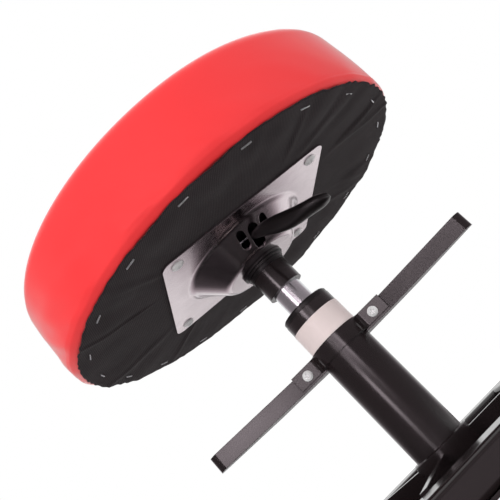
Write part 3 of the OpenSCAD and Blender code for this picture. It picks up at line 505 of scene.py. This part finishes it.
def cloth_section():
    """Points from the middle to the edge, with a step down to the gathered vinyl."""
    inner = [(r * MM, upper_z) for r in range(flat_from, flat_to, flat_step)]
    flat_r = flat_to * MM
    outer = []
    for i in range(loose_steps + 1):
        r = flat_r + (cloth_edge - flat_r) * i / loose_steps
        outer.append((r, upper_z + (lower_z - upper_z) * smooth(wrap_r - step_in, wrap_r, r)))
    return inner + outer


def cloth_moved(angle, radius, height):
    """Lets a point of a ring sag by its folds, creases and pouch, and makes the edge wander."""
    r = radius / MM
    side = Vector((math.cos(angle), math.sin(angle), 0.0))
    reach = smooth(*loose_zone, r)
    at_rim = smooth(wrap_r / MM, cloth_edge / MM, r)
    at_staple = 0.5 - 0.5 * math.cos(staple_count * angle)
    ends = 0.25 + 0.75 * smooth(0.35, 0.9, abs(side.dot(picture_right)))
    fold = math.exp(-(ripple(side, count=3.2, shift=1.3 + r / 300) / fold_width) ** 2)
    creases = ripple(side, count=8, shift=2.0 + r / 160)
    fine = ripple(side, count=21, shift=5.0 + r / 70)
    pouch_size = pouch_mid + pouch_change * ripple(side, count=4, shift=7.7)
    pouch = smooth(*pouch_zone, r) * (1 - at_staple) * pouch_size
    sag = fold_depth * ends * fold + crease_depth * abs(creases) + fine_depth * ends * abs(fine)
    freedom = 1 - 0.8 * at_rim * (0.4 + 0.6 * at_staple)
    sag = sag * reach * freedom + max(0.0, pouch) * (1 - 0.3 * at_rim)
    wave = math.sin(edge_waves * angle + 5 * ripple(side, count=6)) * (0.7 + 1.1 * ripple(side, count=11))
    return radius + (wave_depth * wave + ragged_depth * fine) * MM * at_rim, height - sag * MM


def make_dust_cover():
    segments, woven_t = 576, 0.5 * MM
    cover = turned("black_dust_cover", cloth_section(), segments, cloth_moved, (0,))
    solid = cover.modifiers.new("thickness", "SOLIDIFY")
    solid.thickness = woven_t
    solid.offset = 0.0
    return cover


dust_cover = make_dust_cover()
dust_cover.data.materials.append(finishes["black_cloth"])
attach(dust_cover, "seat")
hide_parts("dust_cover")
print("dust cover points:", len(dust_cover.data.vertices))

# %% [markdown]
# ## The height lever
# The lever is one nylon moulding: a flat finger over the valve button, a boss on the pivot pin and a deep,
# rounded handle that flares into a thumb rest. The moulder rounds every edge, so it is lofted here from
# rounded sections along its path, each given by its middle, half width, lowest and highest point. Seen from
# above, the path bends out of the window and then runs in a long sweep. Sizes are in mm, turns in degrees.

# %% Path of the lever
pivot_y = -40.0
lever_top = lever_high.z / MM
finger_t = 4.0
finger_rows = ((5.0, 1.2), (4.0, 3.4), (1.0, 4.2), (-20.0, 4.3))
boss_rows = ((-34.0, 4.5, 5.0, 0.0), (-37.0, 4.6, 11.5, 0.0), (pivot_y, 4.6, 13.0, 2.0),
             (-44.0, 4.6, 15.5, 6.2))
bend_start, bend_turn, bend_steps, bend_r, bend_middle = 180, 45, 6, 14.0, (14.0, -50.0)
sweep_turn, sweep_steps, sweep_r, sweep_middle = 17.5, 16, 158.0, (115.8, 51.8)
tip_r, tip_steps = 12.0, 8


def round_path(middle, r, start, turn, steps, first):
    """(x, y, heading) along an arc. The heading is a quarter turn on from the arc's spoke, in degrees."""
    rows = []
    for k in range(first, steps + 1):
        at = start + turn * k / steps
        spoke = math.radians(at)
        rows.append((middle[0] + r * math.cos(spoke), middle[1] + r * math.sin(spoke), at + 90 - 360))
    return rows


def lever_path():
    """(x, y, heading, half width, low z, high z) from the finger to the tip."""
    rows = [(0.0, y, -90.0, half, lever_top - finger_t, lever_top) for y, half in finger_rows]
    for y, half, under, over in boss_rows:
        rows.append((0.0, y, -90.0, half, lever_top - under, lever_top - over))
    handle = round_path(bend_middle, bend_r, bend_start, bend_turn, bend_steps, 0)
    handle += round_path(sweep_middle, sweep_r, bend_start + bend_turn, sweep_turn, sweep_steps, 1)
    x, y, heading = handle[-1]
    way = math.radians(heading)
    for k in range(1, tip_steps + 1):
        along = tip_r * math.sin(math.radians(90 * k / tip_steps))
        handle.append((x + along * math.cos(way), y + along * math.sin(way), heading))
    return rows + [shaped(*row) for row in handle]


# %% [markdown]
# ## The handle's section
# The tables give half the handle's height and width by its reach from the pivot. Seen from the side, its
# middle hangs in a shallow bow, the low part of a large circle.

# %% Lever
half_heights = ((0, 4.3), (8, 4.6), (16, 6.4), (24, 8.6), (34, 9.4), (44, 8.4), (52, 7.2), (60, 6.4),
                (66, 6.0), (70, 5.2), (73.4, 3.8), (76, 1.8))
half_widths = ((0, 4.7), (16, 4.9), (40, 7.0), (56, 10.0), (64, 11.0), (68, 10.4), (71.8, 8.4),
               (74.4, 5.4), (76, 2.2))
handle_drop = 8.85
lever_mid_z = lever_top - handle_drop
reach_x, reach_y = 0.7206, -0.6934
bow_r, bow_reach, bow_rise = 263.0, 138.6, 222.2
wrist_zone, wrist_dip = (20, 40), 0.8


def shaped(x, y, heading):
    """Adds the sizes of the handle's section to a place on its path."""
    reach = reach_x * x + reach_y * (y - pivot_y)
    middle = lever_mid_z + bow_rise - math.sqrt(bow_r ** 2 - (reach - bow_reach) ** 2)
    middle -= wrist_dip * smooth(*wrist_zone, reach)
    half = between(half_heights, reach)
    return (x, y, heading, between(half_widths, reach), middle - half, middle + half)


def make_lever():
    around, power = 28, 2.5
    points = []
    rows = lever_path()
    for x, y, heading, half, low, high in rows:
        across = math.radians(heading - 90)
        for k in range(around):
            angle = FULL_TURN * k / around
            c, s = math.cos(angle), math.sin(angle)
            grow = (abs(c) ** power + abs(s) ** power) ** (-1 / power)
            out, up = half * grow * c, (high - low) / 2 * grow * s
            points.append(((x + out * math.cos(across)) * MM, (y + out * math.sin(across)) * MM,
                           ((high + low) / 2 + up) * MM))
    faces = []
    for i in range(len(rows) - 1):
        for k in range(around):
            n = (k + 1) % around
            faces.append((i * around + k, i * around + n, (i + 1) * around + n, (i + 1) * around + k))
    faces.append(tuple(range(around))[::-1])
    faces.append(tuple(range((len(rows) - 1) * around, len(rows) * around)))
    lever = link_mesh("moulded_lever", points, faces)
    smoothing = lever.modifiers.new("rounding", "SUBSURF")
    smoothing.levels = 1
    smoothing.render_levels = 1
    return lever


lever = make_lever()
lever.data.materials.append(finishes["black_plastic"])
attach(lever, "lever")
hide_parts("height_lever")
print("lever points:", len(lever.data.vertices))

# %% [markdown]
# ## Floor and backdrop
# A pale floor carries the stool and keeps its shadow. To the camera, and to whatever mirrors it, it adds a
# glow of its own, stronger far out, so that it reads as the white of a studio sweep without extra light on
# the stool. The air around is white in the same way, and a little dimmer as a source of light.

# %% Floor and air
def seen_directly(tree):
    """1 for rays of the camera, of mirrors and of glass, and 0 for the light that falls on things."""
    path = add(tree, "LightPath")
    seen = add(tree, "Math", {0: path.outputs["Is Camera Ray"], 1: path.outputs["Is Glossy Ray"]},
               operation="MAXIMUM")
    return add(tree, "Math", {0: seen.outputs[0], 1: path.outputs["Is Transmission Ray"]},
               operation="MAXIMUM")


def make_floor():
    half_side = 4.0
    corners = [(x * half_side, y * half_side, 0) for x, y in ((-1, -1), (1, -1), (1, 1), (-1, 1))]
    floor = link_mesh("studio_floor", corners, [(0, 1, 2, 3)])
    material = bpy.data.materials.new("pale_studio_floor")
    material.use_nodes = True
    tree = material.node_tree
    tree.nodes.clear()
    place = add(tree, "TexCoord").outputs["Object"]
    out = add(tree, "VectorMath", {0: place}, operation="LENGTH")
    glow = add(tree, "MapRange", {"Value": out.outputs["Value"], "From Min": 0.4, "From Max": 2.0,
                                  "To Min": 0.42, "To Max": 0.6})
    level = add(tree, "Math", {0: seen_directly(tree).outputs[0], 1: glow.outputs["Result"]},
                operation="MULTIPLY")
    shine = add(tree, "Emission", {"Color": linear("FFFFFF"), "Strength": level.outputs[0]})
    paint = add(tree, "BsdfDiffuse", {"Color": linear("D4D2D1")})
    both = add(tree, "AddShader", {0: shine.outputs[0], 1: paint.outputs[0]})
    add(tree, "OutputMaterial", {"Surface": both.outputs[0]})
    floor.data.materials.append(material)
    print("floor side:", 2 * half_side, "m")


def make_air():
    world = bpy.data.worlds.new("studio_air")
    bpy.context.scene.world = world
    world.use_nodes = True
    tree = world.node_tree
    tree.nodes.clear()
    level = add(tree, "MapRange", {"Value": seen_directly(tree).outputs[0], "To Min": 0.72, "To Max": 1.0})
    air = add(tree, "Background", {"Color": linear("FFFFFF"), "Strength": level.outputs["Result"]})
    add(tree, "OutputWorld", {"Surface": air.outputs[0]})


make_floor()
make_air()

# %% [markdown]
# ## Cards of painted reflection
# Bright metal shows only what stands around it. Like the dark cards a product photographer puts in front of
# it, two glowing cards, seen in reflections only, paint what it mirrors: painted shade, so that the pressed
# plate and the chrome get their deep shapes, and painted highlights. Faces that are nearly as white as the air
# are left out, and both cards are a trace pinker than grey, as the picture's metal is.

# %% Card helpers
def spot(turn, out, height):
    """A place by its turn about the column, from the front to the right, its distance and its height."""
    angle = math.radians(turn - 90)
    return (out * math.cos(angle), out * math.sin(angle), height)


def shaded_card(name, rows, columns, place, shade):
    """A card of rows and columns. place and shade give each corner's point and its brightness."""
    near_white, less_green, less_blue = 0.05, 0.14, 0.08
    corners = [(row, column) for row in rows for column in columns]
    wide = len(columns)
    levels = [shade(row, column) for row, column in corners]
    faces = []
    for i in range(len(rows) - 1):
        for k in range(wide - 1):
            face = (i * wide + k, i * wide + k + 1, (i + 1) * wide + k + 1, (i + 1) * wide + k)
            if max(abs(levels[corner] - 1) for corner in face) > near_white:
                faces.append(face)
    card = link_mesh(name, [place(row, column) for row, column in corners], faces)
    layer = card.data.color_attributes.new("shade", "FLOAT_COLOR", "POINT")
    for point, level in zip(layer.data, levels):
        cast = min(1.0, 2 * abs(1 - level))
        point.color = (level, level * (1 - less_green * cast), level * (1 - less_blue * cast), 1.0)
    material = bpy.data.materials.new(name + "_paper")
    material.use_nodes = True
    tree = material.node_tree
    tree.nodes.clear()
    # The card glows in its painted reflection colour; rays of the camera, of light and of shadow pass through
    # it.
    painted_reflection = add(tree, "Emission", {"Color": add(tree, "VertexColor", layer_name="shade").outputs["Color"]})
    add(tree, "OutputMaterial", {"Surface": painted_reflection.outputs[0]})
    card.data.materials.append(material)
    for kind in ("camera", "diffuse", "transmission", "shadow", "volume_scatter"):
        setattr(card, "visible_" + kind, False)
    print(name, "faces:", len(faces))


# %% [markdown]
# ## The standing card
# It stands in a curve in front of the stool and fades to white at both ends. Its grey is painted shade seen in
# reflections. It has a bright strip, a painted highlight at the height that the bar's flat faces mirror, and a
# bright upright line, a painted highlight which the column mirrors as its long highlight. Each table holds
# pairs of a turn in degrees, or a height in metres, and a brightness.

# %% Standing card
# Grey is painted shade in reflections; the strip and the line glow brighter than white as painted highlights.
grey_round = ((-168, 1.0), (-144, 0.3), (-114, 0.15), (-66, 0.14), (-48, 0.2), (60, 0.2), (102, 0.3),
              (132, 1.0))
grey_upper = ((0.7, 2.0), (0.95, 1.6), (1.3, 1.0))
strip_round = ((-34, 0.0), (-31, 4.2), (-17, 4.2), (-13, 7.5), (-5, 7.5), (-1, 0.0))
strip_low, strip_high = 0.44, 0.6
line_round = ((-47, 0.0), (-43, 1.0), (-34, 1.0), (-31, 0.0))
line_up = ((0.0, 1.2), (0.15, 1.6), (0.3, 13.0), (0.8, 13.0), (0.95, 1.2), (1.3, 0.0))
plain_low, plain_high = 0.32, 0.7
standing_heights = (0.0, 0.15, 0.3, 0.34, 0.42, 0.46, 0.58, 0.62, 0.68, 0.72, 0.8, 0.95, 1.3, 2.6)
standing_turns = list(range(-168, -48, 6)) + list(range(-48, 2, 1)) + list(range(6, 133, 6))
standing_distance = 2.4


def standing_shade(height, turn):
    """Grey, with the strip at its height and the line above and below the plain zone round it."""
    grey = between(grey_round, turn)
    if strip_low < height < strip_high:
        return grey + between(strip_round, turn)
    if height > plain_high:
        grey *= between(grey_upper, height)
    if plain_low < height < plain_high:
        return grey
    return min(1.0, grey) + between(line_round, turn) * between(line_up, height)


shaded_card("standing_card", standing_heights, standing_turns,
            lambda height, turn: spot(turn, standing_distance, height), standing_shade)

# %% [markdown]
# ## The lying card
# It lies on the floor. It is black near the stool, as painted shade of the floor round the stool, and in a
# wedge behind it, which the plate mirrors in front of its dome, and far behind, where the undersides of the
# arms look, as painted dark reflections. Distances are in metres.

# %% Lying card
lying_round = ((-180, 1.0), (-165, 0.5), (-150, 0.06), (-110, 0.06), (-75, 0.35), (-40, 0.5), (35, 0.5),
               (60, 1.0))
# near_black is the painted shade near the stool; most_cast is how far the wedge and far behind are darkened, a
# painted dark reflection.
near_black, most_cast = 0.015, 0.95
near_zone = (0.3, 0.65)
behind_turns, behind_zone = (110, 130), (1.4, 1.7)
wedge_begins, wedge_ends, wedge_zone = (148, 155), (168, 176), (0.9, 1.0)
lying_distances = (0.01, 0.2, 0.4, 0.5, 0.6, 0.7, 0.8, 0.9, 0.93, 0.97, 1.0, 1.4, 1.55, 1.7, 3.9)
lying_turns = list(range(-180, 131, 10)) + list(range(134, 181, 2))
lying_height = 0.002


def lying_shade(out, turn):
    """Black near the stool, the table's grey further out, and dark again in the wedge and far behind."""
    behind = smooth(*behind_turns, turn) * smooth(*behind_zone, out)
    wedge = smooth(*wedge_begins, turn) * (1 - smooth(*wedge_ends, turn)) * (1 - smooth(*wedge_zone, out))
    level = near_black + (between(lying_round, turn) - near_black) * smooth(*near_zone, out)
    return level * (1 - most_cast * max(behind, wedge))


shaded_card("lying_card", lying_distances, lying_turns,
            lambda out, turn: spot(turn, out, lying_height), lying_shade)

# %% [markdown]
# ## Lights
# A tall, narrow soft box stands low on the left, a large one on the right and a weak one behind. They only
# light the surfaces: what mirrors sees the cards in their place. Their watts are low, because white air fills
# the shadows.

# %% Soft boxes
def soft_box(name, place, width, height, watts, target=(0.0, 0.0, 0.25)):
    lamp = bpy.data.lights.new(name, "AREA")
    lamp.shape = "RECTANGLE"
    lamp.size = width
    lamp.size_y = height
    lamp.energy = watts
    box = bpy.data.objects.new(name, lamp)
    bpy.context.scene.collection.objects.link(box)
    way = Vector(target) - Vector(place)
    box.matrix_world = Matrix.Translation(place) @ way.to_track_quat("-Z", "Y").to_matrix().to_4x4()
    box.visible_glossy = False
    print(name, watts, "W")


soft_box("key_soft_box", spot(-50, 1.6, 0.62), 0.4, 0.75, 9.0)
soft_box("fill_soft_box", spot(45, 2.2, 1.1), 1.3, 1.3, 9.0)
soft_box("back_soft_box", spot(170, 1.9, 1.4), 1.0, 1.0, 5.0)

# %% [markdown]
# ## Camera
# The photographer stood low, 139 mm above the floor and 17 degrees to the left of the lever side, looked up
# by 17 degrees and held the camera turned by 45 degrees. The place, turn and lens come from matching known
# edges of the stool, such as the plate's corners, the column and the rails, to where they fall in the
# picture.

# %% Camera
picture_width_px = 500
focal_px = 730.1
sensor_mm = 36.0
camera_place = Vector((-191.1, -619.0, 139.4)) * MM
heading = 0.3014
tilt = 0.2972
upright_roll = 0.0067
picture_turn = math.radians(45)


def make_camera():
    lens = bpy.data.cameras.new("studio_camera")
    lens.sensor_width = sensor_mm
    lens.lens = focal_px * sensor_mm / picture_width_px
    lens.clip_start = 0.01
    camera = bpy.data.objects.new("studio_camera", lens)
    bpy.context.scene.collection.objects.link(camera)
    ahead = Vector((math.sin(heading) * math.cos(tilt), math.cos(heading) * math.cos(tilt), math.sin(tilt)))
    level = ahead.cross(Vector((0, 0, 1))).normalized()
    upright = level.cross(ahead)
    roll = upright_roll - picture_turn
    right = math.cos(roll) * level + math.sin(roll) * upright
    above = -math.sin(roll) * level + math.cos(roll) * upright
    turn = Matrix((right, above, -ahead)).transposed()
    camera.matrix_world = Matrix.Translation(camera_place) @ turn.to_4x4()
    bpy.context.scene.camera = camera
    return camera


camera = make_camera()
print("lens:", round(camera.data.lens, 2), "mm")

# %% [markdown]
# ## Picture settings
# The standard view transform adds no look of its own to the colours.

# %% Picture settings
bpy.context.scene.view_settings.view_transform = "Standard"
